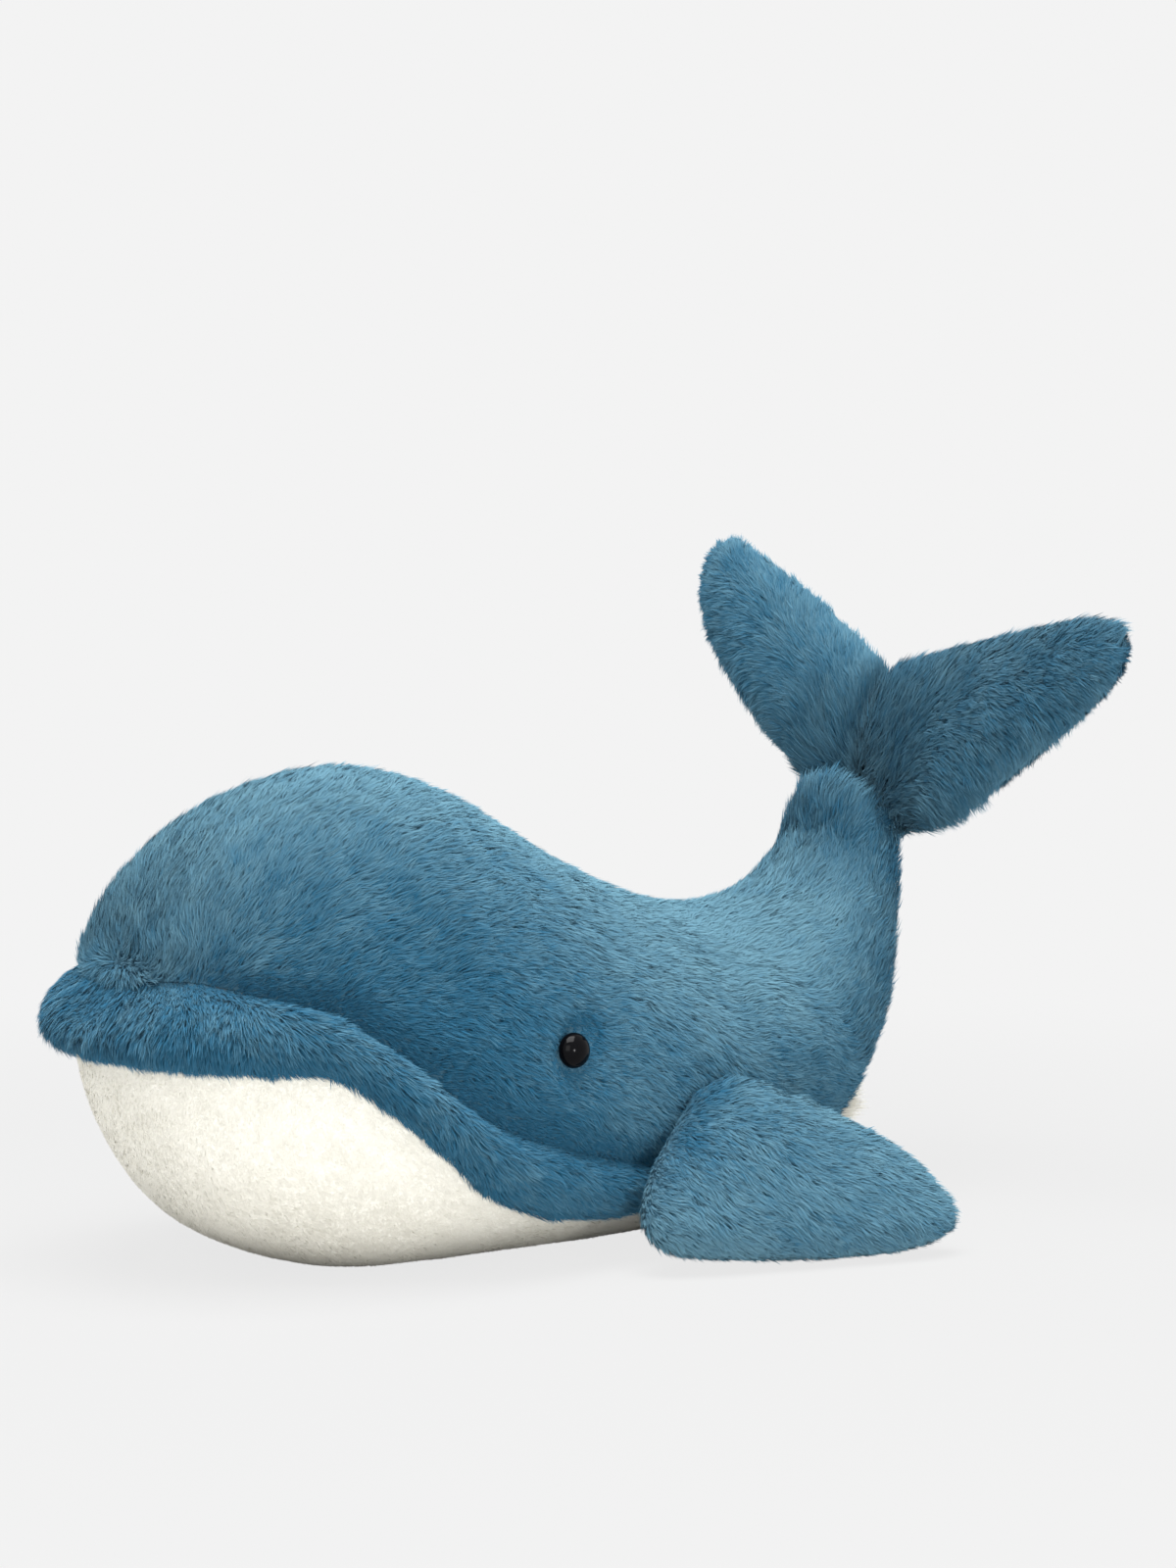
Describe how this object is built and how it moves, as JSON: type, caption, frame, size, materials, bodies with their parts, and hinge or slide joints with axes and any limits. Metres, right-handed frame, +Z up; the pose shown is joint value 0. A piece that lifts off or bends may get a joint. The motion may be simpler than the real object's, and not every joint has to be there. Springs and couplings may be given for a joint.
{
  "type": "plush whale",
  "caption": "Soft stuffed whale with a round head, padded lip, bead eyes, side flippers and a raised tail with flukes.",
  "frame": {"origin": "centre of the overall bounding box, on the floor under the belly", "axes": "the whale's nose points along -X, its left side along -Y, +Z is up"},
  "size_m": [0.304, 0.2158, 0.1926],
  "materials": {
    "blue_plush": "matte",
    "white_plush": "matte",
    "stuffing": "matte",
    "black_bead": "gloss",
    "washer_plastic": "matte",
    "pouch_cloth": "matte"
  },
  "bodies": {
    "body": {"side_panel_left": "blue_plush", "side_panel_right": "blue_plush", "belly_panel": "white_plush", "lip_left": "blue_plush", "lip_right": "blue_plush", "body_filling": "stuffing", "pellet_pouch": "pouch_cloth", "eye_left": "black_bead", "eye_right": "black_bead", "eye_washer_left": "washer_plastic", "eye_washer_right": "washer_plastic"},
    "tail": {"tail_side_left": "blue_plush", "tail_side_right": "blue_plush", "tail_underside": "white_plush", "tail_filling": "stuffing"},
    "fluke_left": {"fluke_left_front": "blue_plush", "fluke_left_back": "blue_plush", "fluke_left_filling": "stuffing"},
    "fluke_right": {"fluke_right_front": "blue_plush", "fluke_right_back": "blue_plush", "fluke_right_filling": "stuffing"},
    "flipper_left": {"flipper_left_top": "blue_plush", "flipper_left_under": "blue_plush", "flipper_left_filling": "stuffing"},
    "flipper_right": {"flipper_right_top": "blue_plush", "flipper_right_under": "blue_plush", "flipper_right_filling": "stuffing"}
  },
  "joints": [
    {"name": "tail_bend", "type": "hinge", "parent": "body", "child": "tail", "pos_m": [0.08578, 0, 0.05404], "axis": [0, -1, 0], "range_deg": [-40, 10]},
    {"name": "fluke_left_fold", "type": "hinge", "parent": "tail", "child": "fluke_left", "pos_m": [0.13117, -0.00818, 0.12055], "axis": [0.2289, -0.0927, 0.969], "range_deg": [-35, 35]},
    {"name": "fluke_right_fold", "type": "hinge", "parent": "tail", "child": "fluke_right", "pos_m": [0.13045, 0.00827, 0.12115], "axis": [0.2289, -0.0927, 0.969], "range_deg": [-35, 35]},
    {"name": "flipper_left_lift", "type": "hinge", "parent": "body", "child": "flipper_left", "pos_m": [0.02231, -0.07054, 0.04786], "axis": [-0.9659, 0.2588, 0], "range_deg": [0, 70]},
    {"name": "flipper_right_lift", "type": "hinge", "parent": "body", "child": "flipper_right", "pos_m": [0.02231, 0.07054, 0.04786], "axis": [0.9659, 0.2588, 0], "range_deg": [0, 70]}
  ]
}
